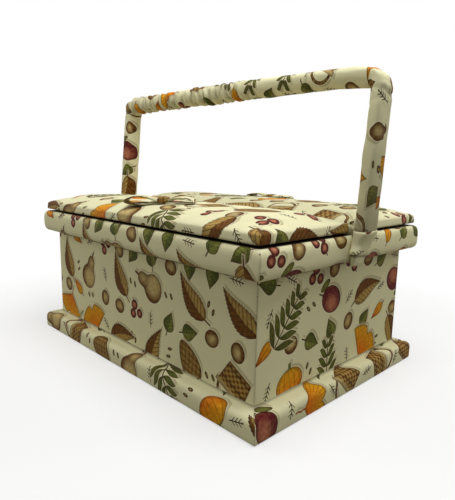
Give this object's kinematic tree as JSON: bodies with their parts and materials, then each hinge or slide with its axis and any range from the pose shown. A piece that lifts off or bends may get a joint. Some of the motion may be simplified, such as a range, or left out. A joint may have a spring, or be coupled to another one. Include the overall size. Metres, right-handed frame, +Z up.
{
  "type": "sewing box",
  "caption": "Cloth-covered sewing carrier with half-round mouldings, two padded lids hinged back to back along the middle, and a padded handle that spans it from end to end.",
  "frame": {"origin": "middle of the footprint, on the surface that the box stands on", "axes": "+X along the box towards its right end, -Y to the front, +Z up"},
  "size_m": [0.3264, 0.211, 0.2484],
  "materials": {
    "covered_board": "fibreboard under glued printed cotton",
    "covered_moulding": "wooden moulding under glued printed cotton",
    "bare_board": "bare fibreboard",
    "base_card": "black card",
    "lining_cloth": "card covered with dark cotton",
    "lid_padding": "wadding under printed cotton",
    "bow_cloth": "folded printed cotton",
    "handle_padding": "wadding under printed cotton",
    "steel_strap": "plain steel",
    "brass": "thin pressed brass"
  },
  "bodies": {
    "box": {"front_panel": "covered_board", "back_panel": "covered_board", "left_panel": "covered_board", "right_panel": "covered_board", "rim_front": "covered_moulding", "rim_right": "covered_moulding", "rim_back": "covered_moulding", "rim_left": "covered_moulding", "plinth_front": "covered_moulding", "plinth_right": "covered_moulding", "plinth_back": "covered_moulding", "plinth_left": "covered_moulding", "base_board": "bare_board", "base_cover": "base_card", "centre_rail": "covered_moulding", "hinge_strip": "covered_moulding", "lining_front": "lining_cloth", "lining_back": "lining_cloth", "lining_left": "lining_cloth", "lining_right": "lining_cloth", "lining_floor": "lining_cloth", "hinge_leaves_fixed": "brass", "hinge_pins": "brass", "hinge_screws_fixed": "brass", "handle_strap": "steel_strap", "handle_screws": "steel_strap", "handle_leg_left": "handle_padding", "handle_leg_right": "handle_padding", "handle_grip": "handle_padding", "handle_patch_left": "handle_padding", "handle_patch_right": "handle_padding"},
    "front_lid": {"front_lid_board": "covered_board", "front_lid_pad": "lid_padding", "front_lid_lining": "lining_cloth", "front_lid_pull": "bow_cloth", "front_lid_hinge_leaves": "brass", "front_lid_hinge_screws": "brass"},
    "back_lid": {"back_lid_board": "covered_board", "back_lid_pad": "lid_padding", "back_lid_lining": "lining_cloth", "back_lid_pull": "bow_cloth", "back_lid_hinge_leaves": "brass", "back_lid_hinge_screws": "brass"}
  },
  "joints": [
    {"name": "front_lid_hinge", "type": "hinge", "parent": "box", "child": "front_lid", "pos_m": [0, -0.0034, 0.1324], "axis": [-1, 0, 0], "range_deg": [0, 70]},
    {"name": "back_lid_hinge", "type": "hinge", "parent": "box", "child": "back_lid", "pos_m": [0, 0.0034, 0.1324], "axis": [1, 0, 0], "range_deg": [0, 70]}
  ]
}
